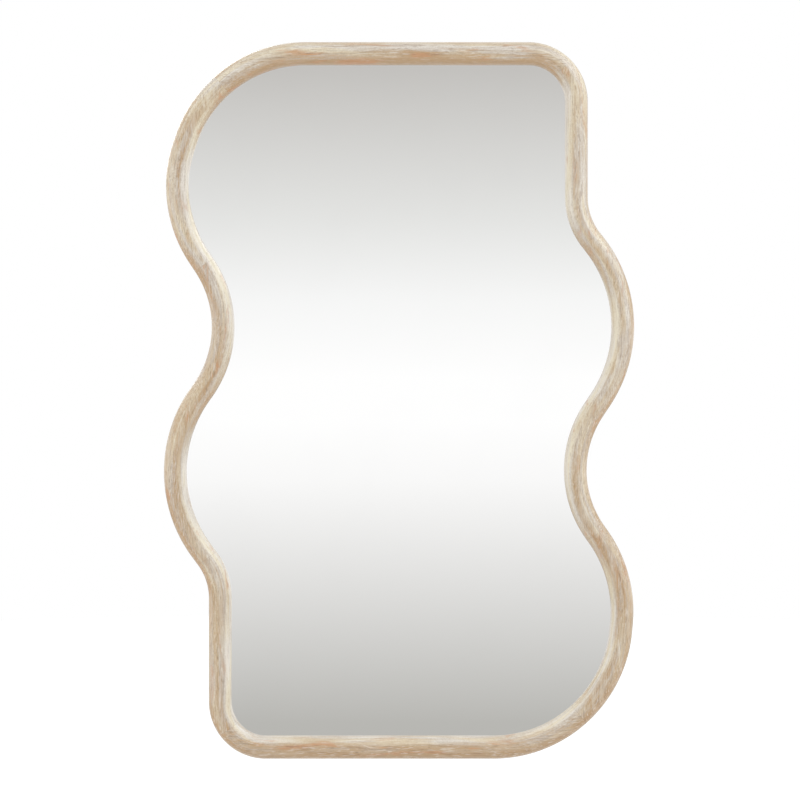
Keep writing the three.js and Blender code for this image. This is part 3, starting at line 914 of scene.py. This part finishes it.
def strap_ring(path, i):
    """Section of the strap at one point of its path: a flat rectangle with broken edges."""
    before, after = path[max(i - 1, 0)], path[min(i + 1, len(path) - 1)]
    tangent = Vector((0, after[0] - before[0], after[1] - before[1])).normalized()
    up = Vector((1, 0, 0)).cross(tangent)
    wide = STRAP_WIDTH / 2
    if i < len(STRAP_END_STEPS):
        from_round = wide - STRAP_END_STEPS[i]
        wide = math.sqrt(max(wide ** 2 - from_round ** 2, STRAP_END_SQUARE))
    half = STRAP_THICKNESS / 2
    flat = wide - STRAP_EDGE
    thick = half - STRAP_EDGE
    corners = [(wide, thick), (flat, half), (-flat, half), (-wide, thick),
               (-wide, -thick), (-flat, -half), (flat, -half), (wide, -thick)]
    middle = Vector((0, *path[i]))
    return [(middle + Vector((x, 0, 0)) + up * rise) * MM for x, rise in corners]


def strap(side, origin, material):
    path = strap_path()
    rings = [strap_ring(path, i) for i in range(len(path))]
    piece = new_object(f"{side}_strap_steel", loft("strap", rings), smooth_angle=50)
    piece.data.transform(Matrix.Translation(origin))
    dress(piece, "zinc_plate", material, "frame", f"{side}_hanger_strap")


def arc_points(middle, radius, first, turn, steps):
    """Points (x, z) of an arc, both ends included."""
    angles = [first + turn * i / steps for i in range(steps + 1)]
    return [(middle[0] + radius * math.cos(a), middle[1] + radius * math.sin(a)) for a in angles]


def ring_path():
    """Middle line of the ring as (x, z): the bar, two round corners, two sides and the round end."""
    quarter = math.pi / 2
    corner_x = RING_HALF - RING_CORNER
    path = [(x, 0) for x in RING_BAR_STEPS]
    path += arc_points((corner_x, RING_CORNER), RING_CORNER, -quarter, quarter, RING_CORNER_STEPS)
    path += arc_points((0, RING_SIDE), RING_HALF, 0, math.pi, RING_BOW_STEPS)
    path += arc_points((-corner_x, RING_CORNER), RING_CORNER, math.pi, quarter, RING_CORNER_STEPS)
    return path


def wire_ring(path, i):
    """Round section of the ring's wire at one point of its closed path."""
    before, here, after = path[i - 1], path[i], path[(i + 1) % len(path)]
    tangent = Vector((after[0] - before[0], 0, after[1] - before[1])).normalized()
    across = tangent.cross(Vector((0, 1, 0)))
    points = []
    for t in turned(WIRE_SIDES, 0.5):
        rise = Vector((0, WIRE_RADIUS * math.sin(t), 0))
        points.append((Vector((here[0], 0, here[1])) + across * (WIRE_RADIUS * math.cos(t)) + rise) * MM)
    return points


def ring(side, origin, material):
    path = ring_path()
    rings = [wire_ring(path, i) for i in range(len(path))]
    piece = new_object(f"{side}_ring_steel", loft("ring", rings, closed=True), smooth_angle=60)
    lean = Matrix.Rotation(RING_LEAN, 4, "X")
    piece.data.transform(Matrix.Translation(origin + Vector((0, EYE_OUTER * MM, 0))) @ lean)
    dress(piece, "zinc_plate", material, f"{side}_ring", f"{side}_hanger_ring")


def hangers():
    material = zinc_material("zinc_hanger", rgb(188, 191, 195))
    for side in ("left", "right"):
        low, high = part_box(f"{side}_hanger_strap")
        bar = low.z + STRAP_LENGTH * MM
        origin = Vector(((low.x + high.x) / 2, low.y, bar))
        strap(side, origin, material)
        ring(side, origin, material)


# ---------------------------------------------------------------- bumpers

BUMPER_RADIUS = 5
BUMPER_HEIGHT = 5
BUMPER_SHOULDER = 3.6  # height at which its rounding starts
BUMPER_ROUND = 1.5  # how far that comes in from the radius
BUMPER_CROWN = 3.2
BUMPER_FOOT = 0.2
SHOULDER_ANGLES = (0, 0.4, 0.8, 1.2, 1.57)


def rubber_material():
    """Dull dark grey moulded rubber with a little dust."""
    material, g = new_material("grey_rubber")
    place = g.object_coordinates()
    grain = g.noise(place, 3000, detail=2)
    dust = g.remap(g.noise(place, 500, detail=3), 0.5, 0.75, 0.0, 0.3)
    color = g.mix(dust, rgb(58, 58, 60), rgb(112, 110, 106))
    g.surface(color, g.remap(grain, 0.3, 0.7, 0.6, 0.8), g.bump(grain, 0.2, 0.00008))
    return material


def bumper_profile():
    """(radius, y) of a bumper: broken edge at its foot, rounded shoulder, flat crown."""
    profile = [(0, 0), (BUMPER_RADIUS - BUMPER_FOOT, 0), (BUMPER_RADIUS, BUMPER_FOOT)]
    for angle in SHOULDER_ANGLES:
        radius = BUMPER_RADIUS - BUMPER_ROUND * (1 - math.cos(angle))
        profile.append((radius, BUMPER_SHOULDER + (BUMPER_HEIGHT - BUMPER_SHOULDER) * math.sin(angle)))
    return [*profile, (BUMPER_CROWN, BUMPER_HEIGHT), (0, BUMPER_HEIGHT)]


def bumpers():
    material = rubber_material()
    for name in ("left_bumper", "right_bumper"):
        low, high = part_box(name)
        piece = new_object(f"{name}_rubber", lathe(name, bumper_profile()), smooth_angle=50)
        piece.data.transform(Matrix.Translation(((low.x + high.x) / 2, low.y, (low.z + high.z) / 2)))
        dress(piece, "rubber", material, "frame", name)


# ---------------------------------------------------------------- CAD nodes that stay

def dowel_material():
    """Turned beech with short rays."""
    material, g = new_material("beech_dowel")
    rays = g.noise(g.object_coordinates(), (700, 700, 200), detail=3)
    color = g.mix(g.remap(rays, 0.3, 0.7), rgb(214, 180, 134), rgb(196, 156, 108))
    g.surface(color, 0.6, g.bump(rays, 0.3, 0.0002))
    return material


def finish_kept_nodes():
    finishes = {"dowel": dowel_material(), "foam_sheet": foam_material()}
    for name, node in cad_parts.items():
        for start, material in finishes.items():
            if name.startswith(start):
                node.data.materials.clear()
                node.data.materials.append(material)


# ---------------------------------------------------------------- stage, light and camera

FLOOR_LEVEL = -1.3  # the mirror hangs with its middle at about eye height for someone seated
FLOOR_RADIUS = 9
FLOOR_COLOR = (0.82, 0.82, 0.81, 1)
FLOOR_GLOW = 0.5  # only to the camera
MIRRORED_REACH = 0.5  # slope up to which the mirrored light bands are drawn
ROOM_COLOR = (0.985, 0.99, 1, 1)
ROOM_STRENGTH = 0.72
WHITE = (1, 1, 1, 1)

# Light bands of the surroundings that the mirror shows: slope above the level, linear colour.
BANDS = [
    (-0.450, (0.900, 0.895, 0.880)),
    (-0.240, (0.480, 0.474, 0.450)),
    (-0.169, (0.478, 0.473, 0.450)),
    (-0.042, (0.950, 0.948, 0.945)),
    (-0.012, (1.000, 1.000, 1.000)),
    (0.012, (1.000, 1.000, 1.000)),
    (0.053, (0.925, 0.928, 0.925)),
    (0.095, (0.775, 0.778, 0.765)),
    (0.173, (0.546, 0.534, 0.515)),
    (0.240, (0.546, 0.534, 0.515)),
    (0.450, (1.000, 0.995, 0.985)),
]

PHOTO_SIZE = 800  # the photograph is square
PHOTO_SCALE = 716.6 / 0.915  # its pixels to a metre, on the frame
PHOTO_CENTRE = (399.1, 400.4)  # the pixel that shows the middle of the mirror
LENS = 85
SENSOR = 36


def floor():
    mesh = bpy.data.meshes.new("floor")
    edit = bmesh.new()
    bmesh.ops.create_circle(edit, cap_ends=True, segments=96, radius=FLOOR_RADIUS)
    edit.to_mesh(mesh)
    edit.free()
    piece = new_object("studio_floor", mesh)
    piece.location.z = FLOOR_LEVEL
    material, g = new_material("pale_floor")
    g.surface(FLOOR_COLOR, 0.9, specular=0.0)
    g.bsdf.inputs["Emission Color"].default_value = WHITE
    seen = g.node("ShaderNodeLightPath").outputs["Is Camera Ray"]
    g.put(g.math("MULTIPLY", seen, FLOOR_GLOW), g.bsdf.inputs["Emission Strength"])
    mesh.materials.append(material)
    piece.visible_glossy = False


def light_bands(g):
    """Colour of the surroundings by the slope at which a ray meets them."""
    direction = g.node("ShaderNodeTexCoord").outputs["Generated"]
    height = g.remap(g.split(direction)["Z"], -MIRRORED_REACH, MIRRORED_REACH, smooth=False)
    ramp = g.node("ShaderNodeValToRGB")
    g.put(height, ramp.inputs[0])
    stops = ramp.color_ramp.elements
    while len(stops) < len(BANDS):
        stops.new(0.5)
    for stop, (slope, color) in zip(stops, BANDS):
        stop.position = (slope / MIRRORED_REACH + 1) / 2
        stop.color = (*color, 1)
    return ramp.outputs["Color"]


def studio_world():
    """White to the camera, light bands to what is mirrored, and an even pale room to the rest."""
    world = bpy.data.worlds.new("studio")
    bpy.context.scene.world = world
    world.use_nodes = True
    world.node_tree.nodes.clear()
    g = Graph(world.node_tree)
    ray = g.node("ShaderNodeLightPath").outputs
    room = g.background(ROOM_COLOR, ROOM_STRENGTH)
    lit = g.mix_shader(ray["Is Glossy Ray"], room, g.background(light_bands(g)))
    seen = g.math("MAXIMUM", ray["Is Camera Ray"], ray["Is Transmission Ray"])
    output = g.node("ShaderNodeOutputWorld")
    g.put(g.mix_shader(seen, lit, g.background(WHITE)), output.inputs[0])


def lamp(name, place, size, power, color=(1, 1, 1), glossy=False):
    """An area lamp aimed at the middle of the mirror, in metres and watts."""
    data = bpy.data.lights.new(name, "AREA")
    data.shape = "RECTANGLE"
    data.size, data.size_y = size
    data.energy = power
    data.color = color
    light = bpy.data.objects.new(name, data)
    bpy.context.scene.collection.objects.link(light)
    light.location = place
    light.rotation_euler = (-Vector(place)).to_track_quat("-Z", "Y").to_euler()
    light.visible_glossy = glossy


def lights():
    lamp("left", (-1.9, -0.5, 0.2), (1.6, 1.2), 9.5)
    lamp("right", (1.9, -0.5, 0.2), (1.6, 1.2), 8)
    lamp("key", (1.45, -1.1, 1.55), (1.3, 1.3), 10.2, color=(0.84, 0.91, 1), glossy=True)
    lamp("back", (-1.2, 2.1, 1.3), (1.4, 1.4), 14, glossy=True)


def camera():
    """Looks level at the frame's front, so that the photograph's scale and centre come out."""
    data = bpy.data.cameras.new("camera")
    data.lens = LENS
    data.sensor_width = SENSOR
    view = bpy.data.objects.new("camera", data)
    bpy.context.scene.collection.objects.link(view)
    reach = PHOTO_SIZE * LENS / SENSOR / PHOTO_SCALE
    x = (PHOTO_SIZE / 2 - PHOTO_CENTRE[0]) / PHOTO_SCALE
    z = (PHOTO_CENTRE[1] - PHOTO_SIZE / 2) / PHOTO_SCALE
    view.location = (x, CROWN_BASE * MM - reach, z)
    view.rotation_euler = (math.radians(90), 0, 0)
    bpy.context.scene.camera = view


# ---------------------------------------------------------------- all of it

run_end = 0
for index in range(len(PIECES)):
    run_end = frame_piece(index, run_end)
mirror_glass()
back_board()
screws()
hangers()
bumpers()
finish_kept_nodes()
floor()
studio_world()
lights()
camera()
bpy.context.scene.view_settings.view_transform = "Standard"
